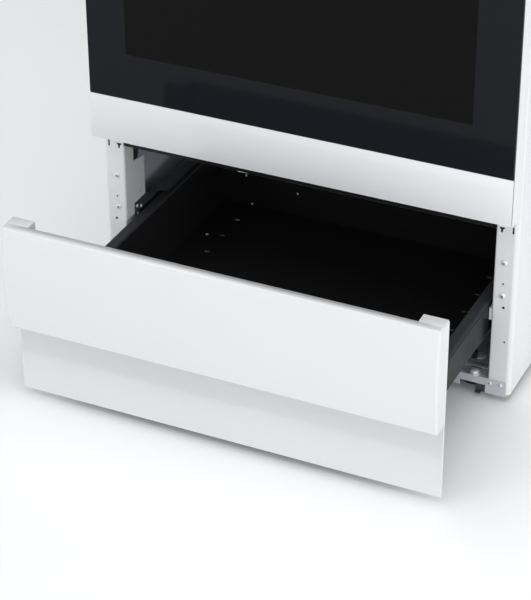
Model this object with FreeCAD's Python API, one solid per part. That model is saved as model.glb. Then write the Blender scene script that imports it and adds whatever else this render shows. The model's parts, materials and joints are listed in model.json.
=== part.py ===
import FreeCAD, Part
import math
import os

# A freestanding 24-inch-class gas range: cabinet on levelling legs, drop-down oven door and a
# storage drawer that stands partly open at rest. Millimetres. The origin is on the floor, on the
# centre line, under the front plane of the cabinet's posts. +X is the range's right seen from the
# front, +Y points to its back and +Z up.

Vector = FreeCAD.Vector

# ---- overall sizes
body_width = 604.8
body_depth = 598.0
cooktop_height = 914.0
backguard_rise = 166.0     # above the cooktop
body_bottom = 12.0
front_inset = 0.8          # door and drawer front stop short of the cabinet's sides by this much

# ---- sheet metal
panel_sheet = 1.2
liner_sheet = 1.5
bend = 1.5                 # inside bend radius
post_width = 31.2
post_return = 56.8
post_corner = 5.2          # inside radius of the cabinet's rounded front corner
rear_return = 16.0

# ---- heights of the front, bottom to top
drawer_bottom = 11.6
drawer_step = 121.0
drawer_top = 274.9
door_gap = 15.5            # hand gap between the drawer front and the door
band_height = 66.4         # painted band below the door's glass
panel_gap = 5.8            # between the door and the control panel
control_height = 80.2
cooktop_rise = 34.0        # cooktop's top above the control panel

# ---- storage drawer, where it stands at rest
drawer_open = 243.6        # how far it stands out from closed
drawer_more = 50.0         # how much further it opens
front_clearance = 4.0      # drawer front's back to the posts when it is closed
upper_depth = 34.4         # at the middle of the bulge
tier_top_depth = 29.4
tier_foot_depth = 25.4
bulge_height = 205.0
lower_depth = 1.2
lug_width = 33.4
lip_depth = 12.0
grip_depth = 38.0
pan_length = 487.6
pan_floor = 67.2
pan_shoulder = 16.4        # width of the flat flange along each side of the pan
pan_lean = 10.0            # how far each wall leans out from foot to rim
pan_rim = 149.6
pan_rear_rim = 120.0
pan_side_gap = 4.8         # pan's outer face to the posts
pan_skirt = 48.0
slot_first = 39.9           # drain slots along each side of the pan's floor
slot_pitch = 50.6
slot_inset_left = 47.4      # from the foot of the wall
slot_inset_right = 38.2

# ---- rails, guides and rollers of the drawer
rail_front = 23.2
rail_shelf = 98.0
rail_hook = 155.2
rail_reach = 18.0
rail_plate_top = 163.2
roller_radius = 7.0
roller_width = 8.0
roller_pin = 2.0
turning_gap = 0.1          # radial, round a pin
running_gap = 0.3          # between a roller and its track

# ---- base and legs
base_top = 34.0
rail_width = 36.8
channel_top = 32.0
leg_inset = 64.4
leg_set_back = 40.0
foot_radius = 17.0
foot_height = 8.0
stud_radius = 4.0
stud_top = 44.0

# ---- oven
cavity_width = 457.0
cavity_depth = 477.0
cavity_above_door = 39.1   # cavity floor over the door's lower edge
cavity_below_door = 55.5   # cavity roof under the door's upper edge
opening_lip = 2.5          # front frame's edge stands in over the liner
insulation_air = 4.7       # between the insulation and the posts
insulation_top = 36.0
rack_levels = (120.5, 180.5, 250.5, 310.5)   # above the cavity floor
racks_on = (0, 2)
rack_play = 20.0
wire = 2.6

# ---- oven door
door_thick = 32.1
door_seal_gap = 1.5        # rear edge of the door to the posts
frame_hang = 25.0          # the oven's front frame reaches this far below the door's front edge
door_drop = 7.4            # the rear of the door hangs below its front edge
glass_thick = 4.1
gasket = 6.2
window_half = 170.0
window_foot = 139.6        # above the door's lower edge
window_head = 144.0        # below its upper edge
hinge_back = 11.6          # pivot behind the door's face
hinge_up = 1.9             # pivot below the door's front lower edge
hinge_inset = 62.4
hinge_pin = 2.5
handle_radius = 9.0
handle_stand = 42.0
handle_length = 500.0
handle_drop = 29.0

# ---- knobs and buttons
knob_places = (-220.0, -120.0, 120.0, 220.0)
knob_radius = 20.0
knob_length = 24.0
knob_gap = 4.0
stem_radius = 4.0
push_travel = 3.0
button_radius = 8.0
button_places = (150.0, 180.0)
button_drop = 68.0         # below the backguard's top
button_travel = 1.2

# ---- burners and grates
burner_x = 140.0
burner_rows = (150.0, 400.0)
burner_radius = 40.0
well_depth = 8.0
grate_bar = 9.0
grate_rise = 34.0          # above the cooktop

# ---- backguard
backguard_thick = 52.0

# ---- gas supply
pipe_radius = 8.0
tube_radius = 3.5
inlet_radius = 10.5
inlet_length = 22.0
inlet_x = 180.0
inlet_z = 120.0
inlet_set_back = 38.0      # regulator's centre to the back of the cabinet

# ---- places worked out from the sizes above
half = body_width / 2.0
front_half = half - front_inset
post_inner = half - post_width
door_bottom = drawer_top + door_gap
panel_top = cooktop_height - cooktop_rise
panel_bottom = panel_top - control_height
door_top = panel_bottom - panel_gap
cavity_floor = door_bottom + cavity_above_door
cavity_top = door_top - cavity_below_door
rack_heights = [cavity_floor + level for level in rack_levels]
window_low = door_bottom + window_foot
window_high = door_top - window_head
backguard_top = cooktop_height + backguard_rise
grate_top = cooktop_height + grate_rise
glass_bottom = door_bottom + band_height
door_back = -door_seal_gap
door_face = door_back - door_thick
pivot_y = door_face + hinge_back
pivot_z = door_bottom - hinge_up
inner_face = -gasket - running_gap
pan_back = -drawer_open - front_clearance
pan_side = post_inner - pan_side_gap
pan_rear = pan_back + pan_length
pan_wall_top = pan_side - pan_shoulder
pan_wall_foot = pan_wall_top - pan_lean
rail_web = post_inner - 0.2
base_outer = post_inner - 2.4
base_inner = base_outer - rail_width
bolt_x = base_inner + 19.2
leg_x = half - leg_inset
leg_rows = (leg_set_back, body_depth - leg_set_back)
cavity_half = cavity_width / 2.0
opening_half = cavity_half - opening_lip
hinge_x = half - hinge_inset
handle_half = handle_length / 2.0
opening_floor = cavity_floor + opening_lip
opening_top = cavity_top - opening_lip
knob_z = (panel_bottom + panel_top) / 2.0
panel_face = door_face - 2.4
inlet_y = body_depth - inlet_set_back
well_floor = cooktop_height - well_depth
backguard_face = body_depth - backguard_thick
cooktop_back = backguard_face - 4.0
button_z = backguard_top - button_drop


def box(x0, x1, y0, y1, z0, z1):
    return Part.makeBox(x1 - x0, y1 - y0, z1 - z0, Vector(x0, y0, z0))


def rod(radius, start, end):
    first = Vector(*start)
    line = Vector(*end) - first
    return Part.makeCylinder(radius, line.Length, first, line)


def ring(outer, inner, start, end):
    return rod(outer, start, end).cut(rod(inner, start, end))


def mirrored(shape):
    return shape.mirror(Vector(0, 0, 0), Vector(1, 0, 0))


def both(shape):
    return Part.makeCompound([mirrored(shape), shape])


def joined(shapes):
    result = shapes[0]
    if len(shapes) > 1:
        result = shapes[0].fuse(shapes[1:])
    return result.removeSplitter()


def placed(axis, u, v):
    """A point of a flat section: u, v are Y, Z for axis x, then X, Z for y, and X, Y for z."""
    if axis == "x":
        return Vector(0, u, v)
    if axis == "y":
        return Vector(u, 0, v)
    return Vector(u, v, 0)


def swept(face, axis, low, high):
    way = {"x": Vector(1, 0, 0), "y": Vector(0, 1, 0), "z": Vector(0, 0, 1)}[axis]
    face.translate(way * low)
    return face.extrude(way * (high - low))


def prism(points, axis, low, high):
    corners = [placed(axis, u, v) for u, v in points]
    outline = Part.makePolygon(corners + [corners[0]])
    return swept(Part.Face(outline), axis, low, high)


def folded(points, thick, axis, low, high, radius=bend):
    """A bent sheet: points run along its one side, and thick is to their left, or right if negative.

    A radius is the inside radius of each fold. A list gives one for each fold.
    """
    flat = [Vector(u, v, 0) for u, v in points]
    radii = radius if isinstance(radius, (list, tuple)) else [radius] * (len(flat) - 2)
    near = []
    far = []
    for index, spot in enumerate(flat):
        before = (spot - flat[index - 1]).normalize() if index > 0 else None
        after = (flat[index + 1] - spot).normalize() if index < len(flat) - 1 else None
        if before is None or after is None:
            way = after or before
            side = Vector(-way.y, way.x, 0) * thick
            near.append([spot])
            far.append([spot + side])
            continue
        turn = before.x * after.y - before.y * after.x
        inner = radii[index - 1]
        folds_to_sheet = turn * thick > 0
        round_near = inner + abs(thick) if folds_to_sheet else inner
        angle = math.acos(max(-1.0, min(1.0, before.dot(after))))
        reach = round_near * math.tan(angle / 2.0)
        start = spot - before * reach
        end = spot + after * reach
        hand = 1.0 if turn > 0 else -1.0
        centre = start + Vector(-before.y, before.x, 0) * hand * round_near
        bulge = (spot - centre).normalize()
        round_far = inner if folds_to_sheet else inner + abs(thick)
        near.append([start, centre + bulge * round_near, end])
        far_start = start + Vector(-before.y, before.x, 0) * thick
        far_end = end + Vector(-after.y, after.x, 0) * thick
        far.append([far_start, centre + bulge * round_far, far_end])
    edges = []
    last = None
    path = near + [list(reversed(stop)) for stop in reversed(far)]
    for stop in path + [near[0]]:
        spots = [placed(axis, point.x, point.y) for point in stop]
        if last is not None:
            edges.append(Part.makeLine(last, spots[0]))
        if len(spots) == 3:
            edges.append(Part.Arc(*spots).toShape())
        last = spots[-1]
    return swept(Part.Face(Part.Wire(edges)), axis, low, high)


def softened(shape, radius, chosen):
    edges = [edge for edge in shape.Edges if chosen(edge)]
    return shape.makeFillet(radius, edges)


def runs_along(edge, axis):
    ends = [vertex.Point for vertex in edge.Vertexes]
    if len(ends) < 2:
        return False
    line = ends[1] - ends[0]
    other = {"x": (line.y, line.z), "y": (line.x, line.z), "z": (line.x, line.y)}[axis]
    return abs(other[0]) < 1e-6 and abs(other[1]) < 1e-6


def screw(radius, length, spot, way):
    """A pan-head screw: its head stands on spot, and way points out of the head."""
    out = Vector(*way).normalize()
    seat = Vector(*spot)
    head = Part.makeCylinder(radius, radius * 0.55, seat, out)
    head = softened(head, radius * 0.4, lambda edge: edge.CenterOfMass.distanceToPoint(seat) > radius * 0.3)
    shank = Part.makeCylinder(radius * 0.5, length, seat, out * -1.0)
    slot = radius * 0.16
    across = Vector(1, 0, 0) if abs(out.x) < 0.5 else Vector(0, 1, 0)
    third = out.cross(across)
    result = head.fuse(shank).removeSplitter()
    top = seat + out * radius * 0.55
    for way_one, way_two in ((across, third), (third, across)):
        corner = top - way_one * radius * 0.5 - way_two * slot - out * radius * 0.25
        blade = Part.makePolygon([corner, corner + way_one * radius, corner + way_one * radius
                                  + way_two * slot * 2, corner + way_two * slot * 2, corner])
        result = result.cut(Part.Face(blade).extrude(out * radius))
    return result


def pipe(radius, stops):
    """A pipe along straight runs, with round elbows."""
    pieces = [rod(radius, stops[index], stops[index + 1]) for index in range(len(stops) - 1)]
    pieces += [Part.makeSphere(radius, Vector(*stop)) for stop in stops[1:-1]]
    return joined(pieces)


# ---- cabinet

post_screws = ((half - 18.4, 216.0), (half - 18.4, 166.4))
post_holes = ((half - 17.6, 184.0, 1.1), (half - 15.2, 148.0, 1.9), (half - 11.2, 95.2, 1.1))
end_screws = (half - 27.8, half - 12.8)
end_screw_height = 26.4
keyhole_x = half - 23.6
keyhole_z = 260.4
slot_x = half - 7.9
flange_cut_low = 224.8
flange_cut_high = 229.6
flange_narrow = 25.6


def sidePanel():
    outline = [(half - rear_return, body_depth), (half, body_depth), (half, 0.0), (post_inner, 0.0),
               (post_inner, post_return)]
    radii = [bend, post_corner, bend]
    panel = folded(outline, -panel_sheet, "z", body_bottom, panel_top, radii)
    cuts = []
    reach = post_inner + panel_sheet + 0.1
    narrow = [(flange_narrow, flange_cut_high), (post_return + 1, flange_cut_low),
              (post_return + 1, panel_top + 1), (flange_narrow, panel_top + 1)]
    cuts.append(prism(narrow, "x", post_inner - 1, reach))
    for x, z in post_screws:
        cuts.append(rod(1.9, (x, -1, z), (x, 3, z)))
    for x, z, radius in post_holes:
        cuts.append(rod(radius, (x, -1, z), (x, 3, z)))
    for x in end_screws:
        cuts.append(rod(1.7, (x, -1, end_screw_height), (x, 3, end_screw_height)))
    keyhole = [(-5.4, 7.8), (5.4, 7.8), (1.6, 4.2), (1.6, 0.0), (-1.4, 0.0), (-1.4, 4.2)]
    cuts.append(prism([(keyhole_x + x, keyhole_z + z) for x, z in keyhole], "y", -1, 3))
    cuts.append(box(slot_x - 1.3, slot_x + 1.3, -1, 3, 260.8, 270.6))
    cuts.append(rod(0.9, (post_inner - 1, 41.6, 190.4), (reach, 41.6, 190.4)))
    cuts.append(box(post_inner - 1, reach, 41.6, 43.4, 171.4, 177.6))
    return panel.cut(cuts).removeSplitter()


vent_low = 560.0


def rearPanel():
    edge = half - panel_sheet - 0.6
    low = base_top + 6.0
    plate = box(-edge, edge, body_depth + 0.2, body_depth + 0.2 + panel_sheet, low, panel_top)
    cuts = [rod(inlet_radius + 5.5, (inlet_x, body_depth - 5, inlet_z), (inlet_x, body_depth + 9, inlet_z))]
    for row in range(5):
        z = vent_low + row * 26.0
        for column in range(-3, 4):
            x = column * 62.0
            cuts.append(box(x - 22, x + 22, body_depth - 1, body_depth + 3, z, z + 5))
    return plate.cut(cuts)


def frontFrame():
    edge = post_inner - 0.2
    low = door_bottom - frame_hang
    high = panel_bottom - 1.8
    plate = box(-edge, edge, 0, liner_sheet, low, high)
    flange = box(-edge, edge, 0, 22, low, low + liner_sheet)
    opening = box(-opening_half, opening_half, -1, 3, opening_floor, opening_top)
    opening = softened(opening, 18.0, lambda edge: runs_along(edge, "y"))
    frame = joined([plate, flange]).cut(opening)
    slot = box(hinge_x - 4, hinge_x + 4, -1, 3, pivot_z - 3.4, pivot_z + 3.4)
    return frame.cut([slot, mirrored(slot)]).removeSplitter()


def baseFrontChannel():
    edge = post_inner - 0.3
    notch_low = 20.8
    face = box(-edge, edge, 0, panel_sheet, notch_low, channel_top)
    middle = box(-base_inner, base_inner, 0, panel_sheet, 12.8, channel_top)
    ledge = box(-edge, edge, 0, 19.0, channel_top - panel_sheet, channel_top)
    end = box(base_outer, half - 4.8, -panel_sheet, 0, 9.6, channel_top + 0.8)
    end = end.cut([rod(1.7, (x, -3, end_screw_height), (x, 1, end_screw_height)) for x in end_screws])
    hole = rod(2.2, (bolt_x, 6.4, channel_top - 3), (bolt_x, 6.4, channel_top + 1))
    return joined([face, middle, ledge, end, mirrored(end)]).cut([hole, mirrored(hole)]).removeSplitter()


def baseSideRails():
    points = [(base_inner, 14.0), (base_inner, base_top), (base_outer, base_top), (base_outer, 14.0)]
    rail = folded(points, -panel_sheet, "y", 20.0, body_depth - 6.0)
    holes = [rod(stud_radius + 0.4, (leg_x, y, 10), (leg_x, y, base_top + 2)) for y in leg_rows]
    return both(rail.cut(holes))


def baseClips():
    x = bolt_x + 2.8
    hook = box(x, x + 12.0, 2.0, 3.6, 8.0, 20.4)
    toe = box(x, x + 8.0, -2.0, 3.6, 6.4, 8.0)
    finger = box(x + 2.4, x + 4.8, 0.8, 3.6, 12.0, 17.0)
    return both(joined([hook, toe, finger]))


rail_rivets = ((28.8, 156.8), (40.0, 151.2), (29.6, 144.0))


def drawerRail():
    points = [(rail_web - rail_reach, rail_hook), (rail_web, rail_hook), (rail_web, rail_shelf),
              (rail_web - rail_reach, rail_shelf)]
    rail_end = pan_rear + drawer_open + 46.0
    long_part = folded(points, -panel_sheet, "y", rail_front, rail_end)
    foot = folded([(rail_web, rail_shelf + 4.0), (rail_web, base_top), (base_inner + 14.0, base_top)],
                  -panel_sheet, "y", rail_end - 50.0, rail_end)
    hook_inner = rail_web - rail_reach - 1
    hook_outer = rail_web - panel_sheet
    cut_away = [(hook_inner, rail_front - 1), (hook_outer, rail_front - 1), (hook_outer, 84.0), (hook_inner, 92.0)]
    open_front = prism(cut_away, "z", rail_hook - 3.0, rail_hook + 1.0)
    plate = prism([(rail_front, rail_shelf + 3), (76.0, rail_shelf + 3), (76.0, rail_plate_top),
                   (66.0, rail_plate_top - 9), (64.0, rail_plate_top), (rail_front, rail_plate_top)],
                  "x", rail_web - panel_sheet, rail_web)
    holes = [rod(1.1, (rail_web - 3, y, z), (rail_web + 1, y, z)) for y, z in rail_rivets]
    return joined([long_part.cut(open_front), plate, foot]).cut(holes)


def drawerSideGuides():
    guide = box(pan_side + 0.4, post_inner - 0.1, 2.0, 15.0, 124.0, 141.0)
    return both(softened(guide, 1.2, lambda edge: runs_along(edge, "z")))


def bodyScrews():
    screws = [screw(3.7, 9.0, (x, -0.01, z), (0, -1, 0)) for x, z in post_screws]
    screws += [screw(2.9, 8.0, (x, -panel_sheet, end_screw_height), (0, -1, 0)) for x in end_screws]
    screws += [screw(3.4, 9.0, (bolt_x, 6.4, channel_top), (0, 0, 1))]
    for y, z in rail_rivets:
        screws.append(screw(2.2, 1.1, (rail_web - panel_sheet, y, z), (-1, 0, 0)))
    return Part.makeCompound(screws + [mirrored(item) for item in screws])


# ---- oven

def ovenLiner():
    side = cavity_half + liner_sheet
    rear = cavity_depth + liner_sheet * 2
    outer = box(-side, side, liner_sheet, rear, cavity_floor - liner_sheet, cavity_top + liner_sheet)
    inner = box(-cavity_half, cavity_half, 0, cavity_depth + liner_sheet, cavity_floor, cavity_top)
    shell = outer.cut(inner)
    ledges = []
    for z in rack_heights:
        under = z - wire
        ledge = box(cavity_half - 6.0, cavity_half + 0.2, 10.0, cavity_depth - 20.0, under - 5.4, under - 1.4)
        ledges += [ledge, mirrored(ledge)]
    return joined([shell] + ledges)


def ovenBottomPanel():
    edge = cavity_half - 2.0
    low = cavity_floor + 4.5
    high = cavity_floor + 32.5
    points = [(-edge, low), (-edge, high), (edge, high), (edge, low)]
    return folded(points, -liner_sheet, "y", 8.0, cavity_depth - 4.0, 4.0)


def insulationSlabs():
    inner = cavity_half + liner_sheet + 0.5
    outer = post_inner - insulation_air
    low = cavity_floor - liner_sheet - 0.5
    high = cavity_top + liner_sheet + 0.5
    back = cavity_depth + liner_sheet * 2 + 0.5
    side = box(inner, outer, 4.0, back, low, high)
    top = box(-outer, outer, 4.0, back, high + 0.5, high + insulation_top)
    bottom = box(-outer, outer, 24.0, back, low - 22.0, low - 0.5)
    rear = box(-outer, outer, back + 0.5, back + 24.0, low, high)
    return Part.makeCompound([side, mirrored(side), top, bottom, rear])


def tubeBurner(z, y0):
    y1 = cavity_depth - 37.0
    tube = rod(8.0, (0, y0, z), (0, y1, z))
    cross = rod(8.0, (-120.0, y1 - 60, z), (120.0, y1 - 60, z))
    ports = []
    for number in range(12):
        y = y0 + 30.0 + number * 26.0
        ports.append(rod(1.6, (-12.0, y, z), (12.0, y, z)))
    return joined([tube, cross]).cut(ports)


def ovenLight():
    back = cavity_depth + liner_sheet - 0.2
    z = cavity_top - 48.5
    lens = rod(26.0, (150.0, back, z), (150.0, back - 12.0, z))
    return softened(lens, 5.0, lambda edge: edge.CenterOfMass.y < back - 6.0)


def doorGasket():
    inner_edge = opening_half + 5.0
    outer_edge = inner_edge + 11.0
    low = opening_floor - 5.0
    high = opening_top + 5.0
    outside = box(-outer_edge, outer_edge, -gasket, 0, low - 11.0, high + 11.0)
    outside = softened(outside, 20.0, lambda edge: runs_along(edge, "y"))
    inside = box(-inner_edge, inner_edge, -gasket - 1, 1, low, high)
    inside = softened(inside, 10.0, lambda edge: runs_along(edge, "y"))
    seal = outside.cut(inside)
    return softened(seal, 2.4, lambda edge: abs(edge.CenterOfMass.y + gasket) < 1e-6)


def hingeArms():
    eye_ends = [(x, pivot_y, pivot_z) for x in (hinge_x - 2, hinge_x + 2)]
    eye = ring(4.6, hinge_pin + turning_gap, *eye_ends)
    arm = box(hinge_x - 2, hinge_x + 2, pivot_y + 3.6, 30.0, pivot_z - 2.6, pivot_z + 2.6)
    plate = box(hinge_x - 2, hinge_x + 2, liner_sheet + 1, 60.0, pivot_z - 16.0, pivot_z + 16.0)
    return both(joined([eye, arm, plate]))


# ---- oven door

def doorShell():
    low_back = door_bottom - door_drop
    outer = prism([(door_face, door_bottom), (door_face, door_top), (door_back, door_top),
                   (door_back, low_back)], "x", -front_half, front_half)
    outer = softened(outer, 2.5, lambda edge: runs_along(edge, "x") and edge.CenterOfMass.y < door_face + 1)
    wall = liner_sheet
    seat = door_face + glass_thick + 0.2
    void = prism([(door_face + wall, door_bottom + wall), (door_face + wall, glass_bottom - wall),
                  (seat + wall, glass_bottom - wall), (seat + wall, door_top - wall), (1, door_top - wall),
                  (1, low_back + wall)], "x", -front_half + wall, front_half - wall)
    cuts = [void]
    cuts.append(box(-half, half, door_face - 5, seat, glass_bottom + 0.4, door_top + 5))
    frame = front_half - 46.6
    cuts.append(box(-frame, frame, door_face, seat + 3, glass_bottom + 40.0, door_top - 60.0))
    slot = box(hinge_x - 8.4, hinge_x + 8.4, pivot_y - 7.0, 1, low_back - 3, pivot_z + 10.0)
    cuts += [slot, mirrored(slot)]
    cheeks = []
    for x in (hinge_x - 8.0, hinge_x + 5.0):
        plate = box(x, x + 3.0, door_face + wall - 0.2, pivot_y + 4.5, pivot_z, pivot_z + 14.0)
        knuckle = rod(4.5, (x, pivot_y, pivot_z), (x + 3.0, pivot_y, pivot_z))
        pin_hole = rod(hinge_pin, (x - 1, pivot_y, pivot_z), (x + 4, pivot_y, pivot_z))
        cheek = joined([plate, knuckle]).cut(pin_hole)
        cheeks += [cheek, mirrored(cheek)]
    return joined([outer.cut(cuts)] + cheeks)


def doorHingePins():
    return both(rod(hinge_pin, (hinge_x - 7.6, pivot_y, pivot_z), (hinge_x + 7.6, pivot_y, pivot_z)))


def doorOuterGlass():
    edge = front_half - 0.4
    pane = box(-edge, edge, door_face, door_face + glass_thick, glass_bottom + 0.8, door_top - 0.4)
    return softened(pane, 1.2, lambda edge: abs(edge.CenterOfMass.y - door_face) < 1e-6)


def doorInnerPanel():
    edge = front_half - liner_sheet - 0.3
    plug = opening_half - 6.0
    low = opening_floor + 6.0
    high = opening_top - 6.0
    plate = box(-edge, edge, inner_face - liner_sheet, inner_face, pivot_z + 13.0, door_top - 8.0)
    raised = box(-plug, plug, inner_face - liner_sheet, 6.0, low, high)
    raised = softened(raised, 14.0, lambda edge: runs_along(edge, "y"))
    hollow = box(-plug + 1.5, plug - 1.5, inner_face - 5, 4.5, low + 1.5, high - 1.5)
    hollow = softened(hollow, 12.5, lambda edge: runs_along(edge, "y"))
    window = box(-window_half, window_half, -20, 20, window_low, window_high)
    window = softened(window, 16.0, lambda edge: runs_along(edge, "y"))
    return joined([plate, raised]).cut([hollow, window]).removeSplitter()


def doorWindowGlass():
    lap = 14.0
    edge = window_half + lap
    return box(-edge, edge, 0.2, 0.2 + glass_thick, window_low - lap, window_high + lap)


def doorHandle():
    y = door_face - handle_stand
    z = door_top - handle_drop
    bar = rod(handle_radius, (-handle_half, y, z), (handle_half, y, z))
    bar = softened(bar, 3.0, lambda edge: len(edge.Vertexes) == 1 and edge.Closed)
    pieces = [bar]
    for x in (-handle_half + 22.0, handle_half - 22.0):
        post = box(x - 11, x + 11, y, door_face, z - 8, z + 8)
        pieces.append(softened(post, 4.0, lambda edge: runs_along(edge, "y")))
    return joined(pieces)


# ---- storage drawer

front_screw_places = (-200.0, 0.0, 200.0)
front_screw_height = 100.0


def drawerFront():
    """The front's upper tier bulges, and a flat sheet hangs below it."""
    wall = 1.6
    back = pan_back
    foot = placed("x", back - tier_foot_depth, drawer_step)
    belly = placed("x", back - upper_depth, bulge_height)
    brow = placed("x", back - tier_top_depth, drawer_top)
    top_back = placed("x", back, drawer_top)
    step_back = placed("x", back, drawer_step)
    edges = [Part.Arc(foot, belly, brow).toShape(), Part.makeLine(brow, top_back),
             Part.makeLine(top_back, step_back), Part.makeLine(step_back, foot)]
    upper = swept(Part.Face(Part.Wire(edges)), "x", -front_half, front_half)
    upper = softened(upper, 4.0, lambda edge: runs_along(edge, "x") and edge.CenterOfMass.y < back - 1)
    upper = softened(upper, 3.0, lambda edge: edge.CenterOfMass.y < back - 3 and
                     abs(edge.CenterOfMass.x) > front_half - 0.01)
    inner_front = back - tier_top_depth + lip_depth
    span = front_half - lug_width
    hollow = box(-span, span, inner_front, back - wall, drawer_step + 12.0, drawer_top - grip_depth - wall)
    grip = box(-span, span, inner_front, back + 1, drawer_top - grip_depth, drawer_top + 20.0)
    grip = softened(grip, 5.0, lambda edge: runs_along(edge, "y") and edge.CenterOfMass.z < drawer_top)
    lower = box(-front_half, front_half, back - lower_depth, back, drawer_bottom, drawer_step + 0.5)
    return joined([upper.cut([hollow, grip]), lower])


def drawerPan():
    sheet = panel_sheet
    skirt = pan_side - sheet
    wall = [(0.0, pan_floor), (pan_wall_foot, pan_floor), (pan_wall_top, pan_rim - sheet),
            (skirt, pan_rim - sheet), (skirt, pan_rim - pan_skirt)]
    right = folded(wall, sheet, "y", pan_back, pan_rear, [5.0, 0.8, 4.0])
    inside = [(-pan_wall_foot, pan_floor), (pan_wall_foot, pan_floor), (pan_wall_top, pan_rim - sheet),
              (-pan_wall_top, pan_rim - sheet)]
    front = prism(inside, "y", pan_back, pan_back + sheet)
    rear = prism(inside, "y", pan_rear - sheet, pan_rear)
    rear = rear.cut(box(-half, half, pan_rear - 5, pan_rear + 5, pan_rear_rim, pan_rim + 5))
    pan = joined([right, mirrored(right), front, rear])
    holes = []
    for number in range(4):
        y = slot_first + number * slot_pitch
        for x in (slot_inset_left - pan_wall_foot, pan_wall_foot - slot_inset_right):
            slot = box(x - 4.2, x + 4.2, y - 3.0, y + 3.0, pan_floor - 1, pan_floor + 3)
            holes.append(softened(slot, 2.9, lambda edge: runs_along(edge, "z")))
    for x, y in ((26.0 - pan_wall_foot, 134.0), (pan_wall_foot - 26.0, 134.0), (-117.0, 60.0)):
        holes.append(rod(1.6, (x, y, pan_floor - 1), (x, y, pan_floor + 3)))
    for x in front_screw_places:
        holes.append(rod(1.7, (x, pan_back - 1, front_screw_height), (x, pan_back + 3, front_screw_height)))
    pin_y, pin_z = rollerPlace()
    holes.append(rod(roller_pin, (-half, pin_y, pin_z), (half, pin_y, pin_z)))
    return pan.cut(holes).removeSplitter()


def rollerPlace():
    return pan_rear - 15.0, rail_shelf + panel_sheet + running_gap + roller_radius


def drawerRoller():
    y, z = rollerPlace()
    inner = pan_side - 2.4 - roller_width
    wheel = ring(roller_radius, roller_pin + turning_gap, (inner, y, z), (inner + roller_width, y, z))
    return softened(wheel, 0.8, lambda edge: edge.Length > roller_radius * 6)


def drawerFasteners():
    y, z = rollerPlace()
    inner = pan_side - 2.4 - roller_width
    head = rod(3.4, (inner - 1.8, y, z), (inner - 0.3, y, z))
    pin = joined([rod(roller_pin, (inner - 1.0, y, z), (pan_side, y, z)), head])
    pieces = [pin, mirrored(pin)]
    for x in front_screw_places:
        pieces.append(screw(3.4, panel_sheet, (x, pan_back + panel_sheet, front_screw_height), (0, 1, 0)))
    return Part.makeCompound(pieces)


# ---- cooktop and burners

def cooktop():
    low = panel_top + 0.2
    outer = box(-half, half, -38.0, cooktop_back, low, cooktop_height)
    outer = softened(outer, 9.0, lambda edge: runs_along(edge, "z"))
    outer = softened(outer, 5.0, lambda edge: abs(edge.CenterOfMass.z - cooktop_height) < 1e-6)
    well = box(-half + 17, half - 17, -16.0, cooktop_back - 14.0, well_floor, cooktop_height + 5)
    well = softened(well, 16.0, lambda edge: runs_along(edge, "z"))
    void = box(-half + 1.5, half - 1.5, -36.5, cooktop_back - 1.5, low - 1, well_floor - 1.5)
    void = softened(void, 8.0, lambda edge: runs_along(edge, "z"))
    holes = []
    for x in (-burner_x, burner_x):
        for y in burner_rows:
            holes.append(rod(30.0, (x, y, low), (x, y, cooktop_height)))
    return outer.cut([well, void] + holes).removeSplitter()


def atBurners(shape):
    copies = []
    for x in (-burner_x, burner_x):
        for y in burner_rows:
            copy = shape.copy()
            copy.translate(Vector(x, y, 0))
            copies.append(copy)
    return Part.makeCompound(copies)


def burnerBases():
    cup = rod(28.0, (0, 0, well_floor - 40.0), (0, 0, well_floor + 0.5))
    plate = rod(burner_radius + 5.0, (0, 0, well_floor), (0, 0, well_floor + 3.0))
    return atBurners(joined([cup, plate]))


def burnerHeads():
    low = well_floor + 3.0
    head = rod(burner_radius, (0, 0, low), (0, 0, low + 11.0))
    ports = []
    for number in range(24):
        angle = math.radians(number * 15.0 + 7.5)
        way = (math.cos(angle), math.sin(angle))
        start = (way[0] * 30.0, way[1] * 30.0, low + 7.0)
        ports.append(rod(1.5, start, (way[0] * 46.0, way[1] * 46.0, low + 7.0)))
    return atBurners(head.cut(ports))


def burnerCaps():
    low = well_floor + 14.0
    cap = rod(burner_radius - 3.0, (0, 0, low), (0, 0, low + 7.0))
    return atBurners(softened(cap, 3.0, lambda edge: edge.CenterOfMass.z > low + 5.0))


def sparkElectrodes():
    x = burner_radius + 1.8
    low = well_floor + 3.0
    stem = rod(1.4, (x, 0, low), (x, 0, low + 9.0))
    collar = rod(2.6, (x, 0, low), (x, 0, low + 3.0))
    return atBurners(joined([stem, collar]).cut(rod(burner_radius, (0, 0, low - 1), (0, 0, low + 11.0))))


def grates():
    x0 = 8.0
    x1 = half - 24.0
    y0 = -8.0
    y1 = cooktop_back - 22.0
    top = grate_top
    low = top - 12.0
    bar = grate_bar
    bars = [box(x0, x1, y0, y0 + bar, low, top), box(x0, x1, y1 - bar, y1, low, top),
            box(x0, x0 + bar, y0, y1, low, top), box(x1 - bar, x1, y0, y1, low, top)]
    middle = (y0 + y1) / 2.0
    bars.append(box(x0, x1, middle - bar / 2, middle + bar / 2, low, top))
    for y in burner_rows:
        bars.append(box(x0, burner_x - 24.0, y - 4, y + 4, low + 2, top))
        bars.append(box(burner_x + 24.0, x1, y - 4, y + 4, low + 2, top))
        lower_edge = y0 if y < middle else middle
        upper_edge = middle if y < middle else y1
        bars.append(box(burner_x - 4, burner_x + 4, lower_edge, y - 24.0, low + 2, top))
        bars.append(box(burner_x - 4, burner_x + 4, y + 24.0, upper_edge, low + 2, top))
    for x in (x0, x1 - bar):
        for y in (y0, middle - bar / 2, y1 - bar):
            bars.append(box(x, x + bar, y, y + bar, well_floor, top - 2))
    return both(joined(bars))


# ---- gas supply

manifold_y = 46.0


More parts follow.
